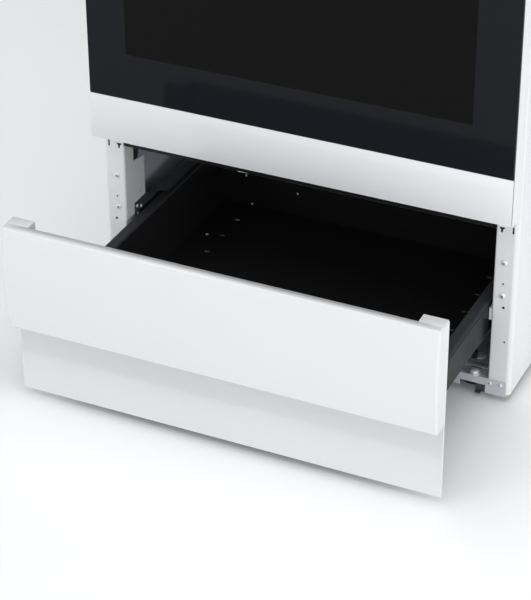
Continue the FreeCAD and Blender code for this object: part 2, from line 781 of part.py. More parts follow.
def manifoldPipe():
    side = half - 17.4
    end = knob_places[0] - 35.0
    stops = [(end, manifold_y, knob_z), (side, manifold_y, knob_z), (side, inlet_y, knob_z),
             (side, inlet_y, inlet_z), (inlet_x + 24.0, inlet_y, inlet_z)]
    return pipe(pipe_radius, stops)


def gasValves():
    pieces = []
    for x in knob_places + (0.0,):
        block = box(x - 12, x + 12, 10.0, manifold_y - pipe_radius + 2.0, knob_z - 12, knob_z + 12)
        block = block.cut(rod(pipe_radius, (-half, manifold_y, knob_z), (half, manifold_y, knob_z)))
        nose = ring(9.0, stem_radius + 0.4, (x, 4.0, knob_z), (x, 10.0, knob_z))
        block = joined([block, nose])
        if x == 0.0:
            shaft = rod(stem_radius, (x, panel_face - knob_gap - 16.0, knob_z), (x, 10.0, knob_z))
            block = joined([block, shaft])
        pieces.append(block)
    return Part.makeCompound(pieces)


def gasTubes():
    z = knob_z + 12.0 + 13.0
    pieces = []
    for x in knob_places:
        side = 1.0 if x > 0 else -1.0
        riser = (x, 24.0, knob_z + 12.0)
        if abs(x) > 150.0:
            row = burner_rows[1]
            stops = [riser, (x, 24.0, z), (x, row, z), (side * (burner_x + 28.0), row, z)]
        else:
            stops = [riser, (x, 24.0, z), (x, burner_rows[0] - 23.0, z)]
        pieces.append(pipe(tube_radius, stops))
    return Part.makeCompound(pieces)


def pressureRegulator():
    y = inlet_y
    body = rod(24.0, (inlet_x, y, inlet_z - 18.0), (inlet_x, y, inlet_z + 18.0))
    body = softened(body, 4.0, lambda edge: edge.Length > 100)
    dome = rod(13.0, (inlet_x, y, inlet_z + 17.0), (inlet_x, y, inlet_z + 30.0))
    neck = rod(inlet_radius + 2.5, (inlet_x, y + 10, inlet_z), (inlet_x, body_depth - 4.0, inlet_z))
    inlet_end = body_depth + 2.0 + inlet_length
    thread = rod(inlet_radius, (inlet_x, y + 10, inlet_z), (inlet_x, inlet_end, inlet_z))
    return joined([body, dome, neck, thread])


# ---- controls

def controlPanel():
    wall = liner_sheet
    outer = box(-half, half, panel_face, 0.0, panel_bottom, panel_top)
    outer = softened(outer, 4.0, lambda edge: edge.CenterOfMass.y < panel_face + 1e-6)
    outer = outer.cut(box(-half - 1, half + 1, -0.6, 1, panel_bottom - 1, panel_top + 1))
    void = box(-half + wall, half - wall, panel_face + wall, 1, panel_bottom + wall, panel_top - wall)
    near, far = panel_face - 1, panel_face + 4
    holes = [rod(6.0, (x, near, knob_z), (x, far, knob_z)) for x in knob_places + (0.0,)]
    return outer.cut([void] + holes).removeSplitter()


def valveStem(x):
    tip = panel_face - knob_gap - knob_length + 7.0
    shaft = rod(stem_radius, (x, tip, knob_z), (x, 10.0 - push_travel - 1.0, knob_z))
    collar = ring(5.4, stem_radius - 0.5, (x, panel_face + 4.0, knob_z), (x, panel_face + 6.0, knob_z))
    return joined([shaft, collar])


def knob(x):
    back = panel_face - knob_gap
    front = back - knob_length
    skirt = rod(knob_radius, (x, back, knob_z), (x, back - 9.0, knob_z))
    grip = Part.makeCone(knob_radius - 2.0, knob_radius - 5.0, knob_length, Vector(x, back, knob_z),
                         Vector(0, -1, 0))
    shape = joined([skirt, grip])
    shape = softened(shape, 1.6, lambda edge: abs(edge.CenterOfMass.y - front) < 1e-3 and edge.Length > 20)
    middles = (x - 19.0, x + 19.0)
    flats = [box(m - 12.0, m + 12.0, front - 1, back - 9.0, knob_z - 30, knob_z + 30) for m in middles]
    bore = rod(stem_radius + turning_gap, (x, back + 1, knob_z), (x, front + 6.6, knob_z))
    return shape.cut(flats + [bore]).removeSplitter()


def backguard():
    wall = liner_sheet
    low = panel_top + 0.2
    rear = body_depth + 0.2 + panel_sheet
    outer = box(-half, half, backguard_face, rear, low, backguard_top)
    outer = softened(outer, 10.0, lambda edge: runs_along(edge, "x") and edge.CenterOfMass.z > low + 1)
    side = half - wall
    void = box(-side, side, backguard_face + wall, rear - wall, low - 1, backguard_top - wall * 2)
    cuts = [void]
    near, far = backguard_face - 1, backguard_face + 4
    for x in button_places:
        cuts.append(rod(button_radius + 0.4, (x, near, button_z), (x, far, button_z)))
    for number in range(-9, 10):
        x = number * 26.0
        cuts.append(box(x - 10, x + 10, near, far, 940.0, 944.0))
    return outer.cut(cuts).removeSplitter()


def displayWindow():
    pane = box(-120.0, 120.0, backguard_face - 2.5, backguard_face, button_z - 28, button_z + 28)
    return softened(pane, 1.0, lambda edge: edge.CenterOfMass.y < backguard_face - 2.4)


def button(x):
    cap = rod(button_radius, (x, backguard_face - 3.0, button_z), (x, backguard_face + 6.0, button_z))
    return softened(cap, 1.0, lambda edge: edge.CenterOfMass.y < backguard_face - 2.0)


# ---- racks and legs

def ovenRack(z):
    edge = cavity_half - 4.5
    y0 = 12.0 + rack_play
    y1 = cavity_depth - 30.0
    rods = [rod(wire, (-edge, y0, z), (edge, y0, z)), rod(wire, (-edge, y1, z), (edge, y1, z)),
            rod(wire, (-edge, y0, z), (-edge, y1, z)), rod(wire, (edge, y0, z), (edge, y1, z))]
    rods += [Part.makeSphere(wire, Vector(x, y, z)) for x in (-edge, edge) for y in (y0, y1)]
    count = 15
    for number in range(1, count):
        x = -edge + 2.0 * edge * number / count
        rods.append(rod(wire * 0.7, (x, y0, z), (x, y1, z)))
    rods.append(rod(wire * 0.9, (-edge, (y0 + y1) / 2, z), (edge, (y0 + y1) / 2, z)))
    return joined(rods)


def levellingLeg(x, y):
    foot = rod(foot_radius, (x, y, 0), (x, y, foot_height))
    foot = softened(foot, 1.5, lambda edge: edge.Length > foot_radius * 4)
    stud = rod(stud_radius, (x, y, foot_height - 1), (x, y, stud_top))
    return joined([foot, stud])


nodes = {
    "side_panel_right": sidePanel(),
    "side_panel_left": mirrored(sidePanel()),
    "rear_panel": rearPanel(),
    "front_frame": frontFrame(),
    "base_front_channel": baseFrontChannel(),
    "base_side_rails": baseSideRails(),
    "base_clips": baseClips(),
    "drawer_rail_right": drawerRail(),
    "drawer_rail_left": mirrored(drawerRail()),
    "drawer_side_guides": drawerSideGuides(),
    "body_screws": bodyScrews(),
    "oven_liner": ovenLiner(),
    "oven_bottom_panel": ovenBottomPanel(),
    "insulation": insulationSlabs(),
    "bake_burner": tubeBurner(cavity_floor + 15.5, 14.0),
    "broil_burner": tubeBurner(cavity_top - 16.5, 40.0),
    "oven_light": ovenLight(),
    "door_gasket": doorGasket(),
    "hinge_arms": hingeArms(),
    "cooktop": cooktop(),
    "burner_bases": burnerBases(),
    "burner_heads": burnerHeads(),
    "burner_caps": burnerCaps(),
    "spark_electrodes": sparkElectrodes(),
    "grates": grates(),
    "manifold_pipe": manifoldPipe(),
    "gas_valves": gasValves(),
    "gas_tubes": gasTubes(),
    "pressure_regulator": pressureRegulator(),
    "control_panel": controlPanel(),
    "backguard": backguard(),
    "display_window": displayWindow(),
    "drawer_front": drawerFront(),
    "drawer_pan": drawerPan(),
    "drawer_fasteners": drawerFasteners(),
    "drawer_roller_right": drawerRoller(),
    "drawer_roller_left": mirrored(drawerRoller()),
    "door_shell": doorShell(),
    "door_hinge_pins": doorHingePins(),
    "door_outer_glass": doorOuterGlass(),
    "door_inner_panel": doorInnerPanel(),
    "door_window_glass": doorWindowGlass(),
    "door_handle": doorHandle(),
    "oven_knob": knob(0.0),
}
for number, x in enumerate(knob_places, start=1):
    nodes["valve_stem_%d" % number] = valveStem(x)
    nodes["burner_knob_%d" % number] = knob(x)
for number, x in enumerate(button_places, start=1):
    nodes["panel_button_%d" % number] = button(x)
for name, level in zip(("lower", "upper"), racks_on):
    nodes["oven_rack_" + name] = ovenRack(rack_heights[level])
for row, y in zip(("front", "rear"), leg_rows):
    nodes["leg_%s_right" % row] = levellingLeg(leg_x, y)
    nodes["leg_%s_left" % row] = levellingLeg(-leg_x, y)

os.makedirs("parts", exist_ok=True)
for name, shape in nodes.items():
    shape.exportStep("parts/%s.step" % name)
    print(name, len(shape.Solids), "solids", "valid" if shape.isValid() else "NOT VALID",
          round(shape.Volume / 1000.0, 2), "cm3")
print(len(nodes), "nodes")
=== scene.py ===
import json
import math

import bmesh
import bpy
from mathutils import Matrix, Vector


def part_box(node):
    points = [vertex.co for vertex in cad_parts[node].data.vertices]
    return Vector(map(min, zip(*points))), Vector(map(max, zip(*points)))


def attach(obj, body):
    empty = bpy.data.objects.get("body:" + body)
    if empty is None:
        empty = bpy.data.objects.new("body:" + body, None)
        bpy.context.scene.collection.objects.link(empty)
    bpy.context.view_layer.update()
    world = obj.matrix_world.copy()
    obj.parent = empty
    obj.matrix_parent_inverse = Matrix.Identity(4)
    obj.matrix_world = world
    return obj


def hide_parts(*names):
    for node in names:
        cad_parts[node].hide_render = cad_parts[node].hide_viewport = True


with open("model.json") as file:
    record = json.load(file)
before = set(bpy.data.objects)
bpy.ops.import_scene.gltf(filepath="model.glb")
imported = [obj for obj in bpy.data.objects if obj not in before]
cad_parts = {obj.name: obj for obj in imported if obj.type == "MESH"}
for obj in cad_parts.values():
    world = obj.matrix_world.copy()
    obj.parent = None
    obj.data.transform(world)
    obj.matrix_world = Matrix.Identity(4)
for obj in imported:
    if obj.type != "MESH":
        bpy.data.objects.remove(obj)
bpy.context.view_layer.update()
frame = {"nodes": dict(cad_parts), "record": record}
print("frame loaded:", len(frame["nodes"]), "CAD nodes")


# an output socket that takes part in sums
class Wire:
    def __init__(self, finish, socket):
        self.finish = finish
        self.socket = socket

    def maths(self, operation, first, second=0.0):
        return self.finish.node("ShaderNodeMath", {"operation": operation}, {0: first, 1: second})

    def __add__(self, other):
        return self.maths("ADD", self, other)

    def __sub__(self, other):
        return self.maths("SUBTRACT", self, other)

    def __mul__(self, other):
        return self.maths("MULTIPLY", self, other)

    def __truediv__(self, other):
        return self.maths("DIVIDE", self, other)

    def __rsub__(self, other):
        return self.maths("SUBTRACT", other, self)

    def __rtruediv__(self, other):
        return self.maths("DIVIDE", other, self)

    __radd__ = __add__
    __rmul__ = __mul__

    def above(self, edge):
        return self.maths("GREATER_THAN", self, edge)

    def below(self, edge):
        return self.maths("LESS_THAN", self, edge)

    def size(self):
        return self.maths("ABSOLUTE", self)

    def sine(self):
        return self.maths("SINE", self)

    def ramp(self, low, high, start=0.0, end=1.0):
        settings = {"clamp": True}
        values = {"Value": self, "From Min": low, "From Max": high, "To Min": start, "To Max": end}
        return self.finish.node("ShaderNodeMapRange", settings, values)


# one material, built node by node
class Finish:
    def __init__(self, name):
        self.material = bpy.data.materials.new(name)
        self.material.use_nodes = True
        self.nodes = self.material.node_tree.nodes
        self.nodes.clear()
        self.place = self.node("ShaderNodeTexCoord", output="Object")

    def node(self, kind, settings=None, inputs=None, output=0):
        made = self.nodes.new(kind)
        for key, value in (settings or {}).items():
            setattr(made, key, value)
        for key, value in (inputs or {}).items():
            if isinstance(value, Wire):
                self.material.node_tree.links.new(value.socket, made.inputs[key])
            else:
                made.inputs[key].default_value = value
        if not made.outputs:
            return made
        return Wire(self, made.outputs[output])

    def axis(self, letter):
        return self.node("ShaderNodeSeparateXYZ", None, {0: self.place}, letter)

    def stretched(self, scale):
        return self.node("ShaderNodeMapping", None, {"Vector": self.place, "Scale": scale})

    def noise(self, scale, detail=3.0, roughness=0.5, place=None):
        values = {"Vector": place or self.place, "Scale": scale, "Detail": detail, "Roughness": roughness}
        return self.node("ShaderNodeTexNoise", None, values)

    def cells(self, scale, output="Distance"):
        return self.node("ShaderNodeTexVoronoi", None, {"Vector": self.place, "Scale": scale}, output)

    def blend(self, factor, first, second):
        values = {0: factor, 6: first, 7: second}
        return self.node("ShaderNodeMix", {"data_type": "RGBA"}, values, 2)

    def bump(self, height, distance):
        return self.node("ShaderNodeBump", None, {"Height": height, "Distance": distance, "Strength": 1.0})

    def surface(self, **sockets):
        names = {"base": "Base Color", "rough": "Roughness", "metal": "Metallic", "normal": "Normal",
                 "coat": "Coat Weight", "coatRough": "Coat Roughness", "specular": "Specular IOR Level",
                 "ior": "IOR", "clear": "Transmission Weight"}
        shader = self.node("ShaderNodeBsdfPrincipled", None, {names[key]: value for key, value in sockets.items()})
        self.node("ShaderNodeOutputMaterial", None, {"Surface": shader})
        return self.material


def grey(level, tint=(1.0, 1.0, 1.0)):
    return (level * tint[0], level * tint[1], level * tint[2], 1.0)


paint = {"level": 0.765, "tint": (0.975, 0.985, 1.0), "peel": 700.0, "peelDepth": 0.00003, "rough": 0.16}
# painted shade: the drawer front uses a darker copy of the white enamel
frontPaintShaded = {"level": 0.700, "tint": (0.98, 0.985, 1.0), "peel": 700.0, "peelDepth": 0.00003, "rough": 0.15}
# painted light: the door uses a brighter copy of the white enamel
doorPaintLit = {"level": 0.78, "tint": (0.955, 0.968, 1.0), "peel": 700.0, "peelDepth": 0.00003, "rough": 0.18}


def enamelParts(made, settings):
    cloud = made.noise(5.0, 2.0)
    peel = made.noise(settings["peel"], 2.0)
    smear = made.noise(16.0, 4.0, 0.6, made.stretched((1.0, 1.0, 0.25)))
    base = made.blend(cloud.ramp(0.3, 0.7), grey(settings["level"] * 0.985, settings["tint"]),
                      grey(settings["level"], settings["tint"]))
    rough = smear.ramp(0.35, 0.7, settings["rough"] - 0.03, settings["rough"] + 0.07)
    return base, rough, made.bump(peel, settings["peelDepth"])


def whiteEnamel(name="white enamel", settings=paint):
    made = Finish(name)
    base, rough, normal = enamelParts(made, settings)
    return made.surface(base=base, rough=rough, normal=normal, coat=0.35, coatRough=0.06)


# "foot" is the near-black painted shade colour that the ground coat fades to between shadeTop and shadeFoot
groundCoat = {"behind": 0.0575, "skin": 0.0005, "light": (0.52, 0.56, 0.65, 1.0), "dark": (0.40, 0.44, 0.52, 1.0),
              "shadeTop": 0.12, "shadeFoot": 0.06, "foot": (0.03, 0.033, 0.04, 1.0)}


# white outside, blue-grey ground coat on the inside faces behind the posts, with painted shade that darkens it near
# the floor
def sidePanelEnamel(node):
    made = Finish("white enamel over ground coat " + node)
    low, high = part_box(node)
    base, rough, normal = enamelParts(made, paint)
    outer = max(abs(low.x), abs(high.x)) - groundCoat["skin"]
    mist = made.noise(220.0, 3.0)
    behind = (made.axis("Y") + mist * 0.004).above(groundCoat["behind"])
    within = made.axis("X").size().below(outer) * made.axis("Z").below(high.z - 0.002)
    speck = made.noise(900.0, 3.0, 0.7)
    coat = made.blend(speck.ramp(0.35, 0.65), groundCoat["dark"], groundCoat["light"])
    # painted shade: below shadeTop the ground coat fades to the near-black foot colour towards the floor
    coat = made.blend(made.axis("Z").ramp(groundCoat["shadeFoot"], groundCoat["shadeTop"]), groundCoat["foot"], coat)
    inside = behind * within
    return made.surface(base=made.blend(inside, base, coat), rough=rough + inside * 0.22, normal=normal,
                        coat=0.3, coatRough=0.08)


def galvanised():
    made = Finish("galvanised steel")
    spangle = made.cells(190.0, "Color")
    flake = made.node("ShaderNodeSeparateColor", None, {0: spangle})
    scratch = made.noise(900.0, 2.0, 0.5, made.stretched((0.08, 1.0, 1.0)))
    cloud = made.noise(14.0, 4.0)
    shade = flake * 0.3 + cloud * 0.7
    base = made.blend(shade.ramp(0.3, 0.7), (0.50, 0.535, 0.57, 1.0), (0.62, 0.655, 0.69, 1.0))
    rough = shade.ramp(0.2, 0.8, 0.26, 0.4) + scratch * 0.08
    return made.surface(base=base, rough=rough, metal=0.82, normal=made.bump(scratch, 0.00002))


def platedSheet(name, light, dark, rough, metal):
    made = Finish(name)
    cloud = made.noise(22.0, 4.0, 0.6)
    rolled = made.noise(1100.0, 2.0, 0.5, made.stretched((0.06, 1.0, 1.0)))
    base = made.blend(cloud.ramp(0.32, 0.7), dark, light)
    return made.surface(base=base, rough=cloud.ramp(0.3, 0.7, rough - 0.04, rough + 0.06), metal=metal,
                        normal=made.bump(rolled, 0.00002))


def blackEnamel(name="black enamel", level=0.0095, rough=0.15, speckle=0.022, gloss=0.15, rim=None):
    made = Finish(name)
    peel = made.noise(420.0, 2.0)
    dust = made.noise(35.0, 6.0, 0.7)
    fleck = made.cells(1400.0).below(0.16) * made.noise(90.0).above(0.55)
    base = made.blend(fleck, grey(level, (1.0, 1.0, 1.08)), grey(speckle))
    # painted sheen: faces above rim["above"] turn a lighter blue-grey
    if rim:
        base = made.blend(made.axis("Z").above(rim["above"]), base, grey(rim["level"], (0.95, 0.98, 1.1)))
    worn = dust.ramp(0.35, 0.75, rough - 0.03, rough + 0.09)
    return made.surface(base=base, rough=worn, normal=made.bump(peel, 0.00004), specular=gloss)


def blackSteel():
    made = Finish("black coated steel")
    grain = made.noise(1600.0, 2.0)
    rub = made.noise(28.0, 5.0, 0.65, made.stretched((1.0, 0.3, 1.0)))
    base = made.blend(rub.ramp(0.5, 0.75), (0.060, 0.072, 0.090, 1.0), (0.100, 0.118, 0.142, 1.0))
    return made.surface(base=base, rough=rub.ramp(0.3, 0.7, 0.3, 0.46), metal=0.3,
                        normal=made.bump(grain, 0.00003))


def zinc(name="zinc plate", level=0.86, metal=0.35):
    made = Finish(name)
    brush = made.noise(1200.0, 3.0)
    stain = made.noise(160.0, 4.0)
    base = made.blend(stain.ramp(0.35, 0.7), grey(level, (0.96, 0.99, 1.0)), grey(level * 0.86, (0.95, 0.985, 1.0)))
    return made.surface(base=base, rough=brush.ramp(0.3, 0.7, 0.28, 0.42), metal=metal,
                        normal=made.bump(brush, 0.00002))


def moulded(name, level, rough, tint=(1.0, 1.0, 1.0), grainDepth=0.00003):
    made = Finish(name)
    grain = made.noise(2200.0, 2.0)
    flow = made.noise(40.0, 3.0)
    base = made.blend(flow.ramp(0.3, 0.7), grey(level * 0.95, tint), grey(level, tint))
    return made.surface(base=base, rough=flow.ramp(0.3, 0.7, rough - 0.04, rough + 0.05),
                        normal=made.bump(grain, grainDepth))


def ovenEnamel():
    made = Finish("speckled oven enamel")
    fleck = made.cells(900.0).below(0.3) * made.noise(160.0).above(0.48)
    soot = made.noise(9.0, 5.0, 0.6)
    base = made.blend(fleck, (0.012, 0.014, 0.02, 1.0), (0.16, 0.17, 0.2, 1.0))
    return made.surface(base=base, rough=soot.ramp(0.35, 0.7, 0.16, 0.34),
                        normal=made.bump(made.noise(500.0), 0.00005))


glassFace = {"black": (0.0090, 0.0096, 0.0126, 1.0), "window": (0.0016, 0.0015, 0.0015, 1.0), "insetSide": 0.0575,
             "insetFoot": 0.0660, "insetTop": 0.075}


# the black border and the darker window in it
def printedGlass():
    made = Finish("black printed glass")
    low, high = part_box("door_outer_glass")
    middle = (low.x + high.x) / 2
    halfWidth = (high.x - low.x) / 2 - glassFace["insetSide"]
    sideways = (made.axis("X") - middle).size().below(halfWidth)
    height = made.axis("Z")
    upright = height.above(low.z + glassFace["insetFoot"]) * height.below(high.z - glassFace["insetTop"])
    dot = made.noise(2400.0, 1.0)
    smear = made.noise(7.0, 5.0, 0.6)
    base = made.blend(sideways * upright, glassFace["black"], glassFace["window"])
    return made.surface(base=base, rough=smear.ramp(0.35, 0.75, 0.035, 0.075), normal=made.bump(dot, 0.000004),
                        specular=0.09)


def clearGlass(name, tint=(0.9, 0.93, 0.92, 1.0)):
    made = Finish(name)
    haze = made.noise(12.0, 4.0)
    return made.surface(base=tint, rough=haze.ramp(0.3, 0.7, 0.02, 0.08), clear=0.85, ior=1.5,
                        normal=made.bump(made.noise(60.0), 0.00002))


def castIron(name="enamelled cast iron", level=0.012):
    made = Finish(name)
    sand = made.noise(900.0, 4.0, 0.7)
    pit = made.cells(300.0)
    wear = made.noise(30.0, 5.0, 0.6)
    base = made.blend(wear.ramp(0.5, 0.8), grey(level), grey(level * 2.6, (1.0, 0.97, 0.94)))
    rough = wear.ramp(0.3, 0.7, 0.42, 0.58)
    return made.surface(base=base, rough=rough, normal=made.bump(sand * 0.6 + pit * 0.4, 0.00018))


def castAluminium():
    made = Finish("cast aluminium")
    sand = made.noise(1500.0, 3.0)
    heat = made.noise(25.0, 4.0)
    base = made.blend(heat.ramp(0.35, 0.7), (0.55, 0.56, 0.57, 1.0), (0.40, 0.38, 0.36, 1.0))
    return made.surface(base=base, rough=sand.ramp(0.3, 0.7, 0.34, 0.5), metal=1.0, normal=made.bump(sand, 0.00006))


def brass():
    made = Finish("machined brass")
    lathe = made.noise(700.0, 3.0)
    stain = made.noise(60.0, 4.0)
    base = made.blend(stain.ramp(0.3, 0.75), (0.62, 0.44, 0.18, 1.0), (0.38, 0.26, 0.11, 1.0))
    return made.surface(base=base, rough=lathe.ramp(0.3, 0.7, 0.2, 0.38), metal=1.0, normal=made.bump(lathe, 0.00003))


def chromeWire():
    made = Finish("plated rack wire")
    haze = made.noise(300.0, 3.0)
    base = made.blend(haze.ramp(0.4, 0.8), grey(0.62), grey(0.42, (1.0, 0.95, 0.88)))
    return made.surface(base=base, rough=haze.ramp(0.3, 0.7, 0.1, 0.24), metal=1.0, normal=made.bump(haze, 0.00002))


def glassWool():
    made = Finish("glass wool")
    fibre = made.noise(500.0, 6.0, 0.8, made.stretched((1.0, 0.2, 1.0)))
    base = made.blend(fibre.ramp(0.3, 0.7), (0.55, 0.48, 0.24, 1.0), (0.78, 0.72, 0.5, 1.0))
    return made.surface(base=base, rough=fibre.ramp(0.3, 0.7, 0.8, 0.95), normal=made.bump(fibre, 0.0008))


sealPitch = 2600.0


def sealBraid():
    made = Finish("woven oven seal")
    along, up = made.axis("X") * sealPitch, made.axis("Z") * sealPitch
    weave = (along + up).sine() * (along - up).sine()
    base = made.blend(weave.ramp(-1.0, 1.0), grey(0.015), grey(0.06))
    return made.surface(base=base, rough=weave.ramp(-1.0, 1.0, 0.8, 0.95), normal=made.bump(weave, 0.0002))


finishes = {}
ownFinish = {}
# painted sheen: pan enamel above this height is a lighter blue-grey, standing in for the light the rim tops catch
panRimSheen = {"above": 0.1466, "level": 0.04}
# light colour, dark colour, roughness and metal of each plated sheet
sheetLook = {"cover": ((0.60, 0.62, 0.66, 1.0), (0.50, 0.52, 0.56, 1.0), 0.36, 0.6),
             "channel": ((0.66, 0.67, 0.72, 1.0), (0.58, 0.59, 0.64, 1.0), 0.4, 0.35),
             "rail": ((0.84, 0.92, 0.97, 1.0), (0.50, 0.58, 0.63, 1.0), 0.2, 0.3)}


def buildFinishes():
    finishes["white_enamel"] = whiteEnamel()
    finishes["galvanised_steel"] = galvanised()
    finishes["black_enamel"] = blackEnamel()
    finishes["black_steel"] = blackSteel()
    finishes["zinc_screws"] = zinc()
    # painted shade: mid-grey standing in for the dark inside the screws' cross recesses
    finishes["screw_recess"] = moulded("screw recess", 0.16, 0.4)
    finishes["cover_sheet"] = platedSheet("cover sheet", *sheetLook["cover"])
    finishes["white_nylon"] = moulded("white nylon", 0.80, 0.34)
    finishes["oven_enamel"] = ovenEnamel()
    finishes["glass_wool"] = glassWool()
    finishes["seal_braid"] = sealBraid()
    finishes["steel_tube"] = zinc("drawn steel", 0.48, 0.8)
    finishes["aluminium_cast"] = castAluminium()
    finishes["brass_valves"] = brass()
    finishes["cast_iron_grate"] = castIron()
    finishes["cap_enamel"] = castIron("cap enamel", 0.009)
    finishes["electrode_ceramic"] = moulded("glazed ceramic", 0.75, 0.2, (1.0, 0.98, 0.93))
    finishes["door_glass"] = printedGlass()
    finishes["window_glass"] = clearGlass("window glass", (0.35, 0.36, 0.36, 1.0))
    finishes["lens_glass"] = clearGlass("lamp lens")
    finishes["handle_steel"] = whiteEnamel("handle enamel")
    finishes["knob_plastic"] = moulded("knob plastic", 0.78, 0.3, (0.985, 0.99, 1.0))
    finishes["button_plastic"] = moulded("button plastic", 0.5, 0.34)
    finishes["rack_chrome"] = chromeWire()
    finishes["foot_plastic"] = moulded("foot plastic", 0.012, 0.45)
    finishes["roller_nylon"] = moulded("roller nylon", 0.72, 0.36)
    ownFinish["side_panel_right"] = sidePanelEnamel("side_panel_right")
    ownFinish["side_panel_left"] = sidePanelEnamel("side_panel_left")
    ownFinish["drawer_front"] = whiteEnamel("drawer enamel", frontPaintShaded)
    ownFinish["drawer_pan"] = blackEnamel("pan enamel", 0.0135, 0.2, 0.026, 0.03, panRimSheen)
    ownFinish["door_shell"] = whiteEnamel("door enamel", doorPaintLit)
    ownFinish["front_frame"] = blackEnamel("frame enamel", 0.012, 0.2, 0.03)
    ownFinish["base_front_channel"] = platedSheet("plated sheet", *sheetLook["channel"])
    # painted highlight: the rail plate colour is set far lighter than the other plated sheets, standing in for the
    # highlights it catches in shade
    ownFinish["base_side_rails"] = platedSheet("rail plate", *sheetLook["rail"])


def dressFrame():
    slotOf = {part["node"]: part["material_slot"] for part in frame["record"]["subparts"]}
    for name, piece in frame["nodes"].items():
        for slot in piece.material_slots:
            slot.material = ownFinish.get(name, finishes[slotOf[name]])


sharpAngle = math.radians(35.0)


# the finish is the slot's own unless another is given
def addPiece(name, shape, body, slot, finish=None, replaces=()):
    mesh = bpy.data.meshes.new(name)
    shape.to_mesh(mesh)
    shape.free()
    mesh.shade_smooth()
    mesh.set_sharp_from_angle(angle=sharpAngle)
    mesh.materials.append(finish or finishes[slot])
    piece = bpy.data.objects.new(name, mesh)
    bpy.context.scene.collection.objects.link(piece)
    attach(piece, body)
    if replaces:
        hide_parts(*replaces)
    return piece


def facing(axis):
    return Vector(axis).to_track_quat("Z", "Y").to_matrix().to_4x4()


def bevelled(shape, edges, width, segments=3):
    bmesh.ops.bevel(shape, geom=list(edges), offset=width, offset_type="OFFSET", segments=segments, profile=0.5,
                    affect="EDGES", clamp_overlap=True, material=-1)


def slab(shape, low, high, edge=0.0, segments=2):
    low, high = Vector(low), Vector(high)
    place = Matrix.Translation((low + high) / 2) @ Matrix.Diagonal((*(high - low), 1.0))
    made = bmesh.ops.create_cube(shape, size=1.0, matrix=place)["verts"]
    if edge:
        bevelled(shape, {e for v in made for e in v.link_edges}, edge, segments)


def rod(shape, start, end, radius, sides=24, edge=0.0):
    start, end = Vector(start), Vector(end)
    place = Matrix.Translation((start + end) / 2) @ facing(end - start)
    made = bmesh.ops.create_cone(shape, cap_ends=True, segments=sides, radius1=radius,
                                 radius2=radius,
                                 depth=(end - start).length, matrix=place)["verts"]
    if edge:
        rims = {e for v in made for e in v.link_edges if e.calc_face_angle(0.0) > 0.9}
        bevelled(shape, rims, edge, 2)


def dome(shape, spot, axis, radius, height, sides=18):
    place = Matrix.Translation(spot) @ facing(axis) @ Matrix.Diagonal((radius, radius, height, 1.0))
    bmesh.ops.create_uvsphere(shape, u_segments=sides, v_segments=sides // 2, radius=1.0, matrix=place)


mergeGap = 0.00001
flatAngle = math.radians(1.0)


# a node's mesh with its triangles joined into flat faces
def copyOf(node):
    shape = bmesh.new()
    shape.from_mesh(frame["nodes"][node].data)
    bmesh.ops.remove_doubles(shape, verts=shape.verts, dist=mergeGap)
    bmesh.ops.dissolve_limit(shape, angle_limit=flatAngle, verts=shape.verts, edges=shape.edges)
    return shape


drawerLook = {"endRadius": 0.0055, "skinFrom": 0.004, "lugSeam": 0.0118, "lugFrom": 0.0010, "lugTo": 0.0328,
              "seamStep": 0.0005, "capDepth": 0.0004, "capFace": -0.2770, "near": 0.0002, "topBand": 0.0004}


def makeDrawerFront():
    shape = copyOf("drawer_front")
    low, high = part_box("drawer_front")
    back = high.y

    def onEnd(edge):
        atEnd = high.x - drawerLook["near"]
        if any(abs(v.co.x) < atEnd or v.co.y > back - drawerLook["skinFrom"] for v in edge.verts):
            return False
        return not all(v.co.z > high.z - drawerLook["topBand"] for v in edge.verts)

    bevelled(shape, [e for e in shape.edges if onEnd(e)], drawerLook["endRadius"], 5)
    addPiece("drawer_front_skin", shape, "drawer", "white_enamel", ownFinish["drawer_front"],
             replaces=("drawer_front",))
    caps = bmesh.new()
    top = drawerLook["capFace"]
    for side in (-1, 1):
        ends = sorted((side * (high.x - drawerLook["lugFrom"]), side * (high.x - drawerLook["lugTo"])))
        slab(caps, (ends[0], top + drawerLook["lugSeam"], high.z - drawerLook["capDepth"]),
             (ends[1], back, high.z + drawerLook["seamStep"]), drawerLook["capDepth"])
    addPiece("drawer_lug_caps", caps, "drawer", "white_enamel", ownFinish["drawer_front"])


panLook = {"studs": ((-0.214, 0.134), (0.214, 0.134)), "studRadius": 0.0021, "floor": 0.0672,
           "wallStuds": ((-0.1998, 0.1170), (-0.1161, 0.1052), (-0.1905, 0.0712)), "wall": 0.2388, "studLift": 0.0010,
           "studHigh": 0.0014, "wallStudHigh": 0.0012, "wallStudScale": 0.8, "sides": 14}


# white nylon domes on the pan floor and rear wall; their white stands in for glints, a painted highlight
def makePanGlintStuds():
    studs = bmesh.new()
    for x, y in panLook["studs"]:
        dome(studs, (x, y, panLook["floor"] + panLook["studLift"]), (0, 0, 1), panLook["studRadius"],
             panLook["studHigh"], panLook["sides"])
    for x, z in panLook["wallStuds"]:
        dome(studs, (x, panLook["wall"], z), (0, -1, 0), panLook["studRadius"] * panLook["wallStudScale"],
             panLook["wallStudHigh"], panLook["sides"])
    addPiece("pan_glint_studs", studs, "drawer", "zinc_screws", finishes["white_nylon"])


doorLook = {"panelSheet": 0.0012, "cornerRadius": 0.0055, "glassBack": -0.0294, "shadeStripInset": 0.0004,
            "panelFoot": 0.0074, "shadeStripFoot": 0.0082, "glassGap": 0.0006, "side": 0.0002, "backSlack": 0.0004,
            "longEdge": 0.02}


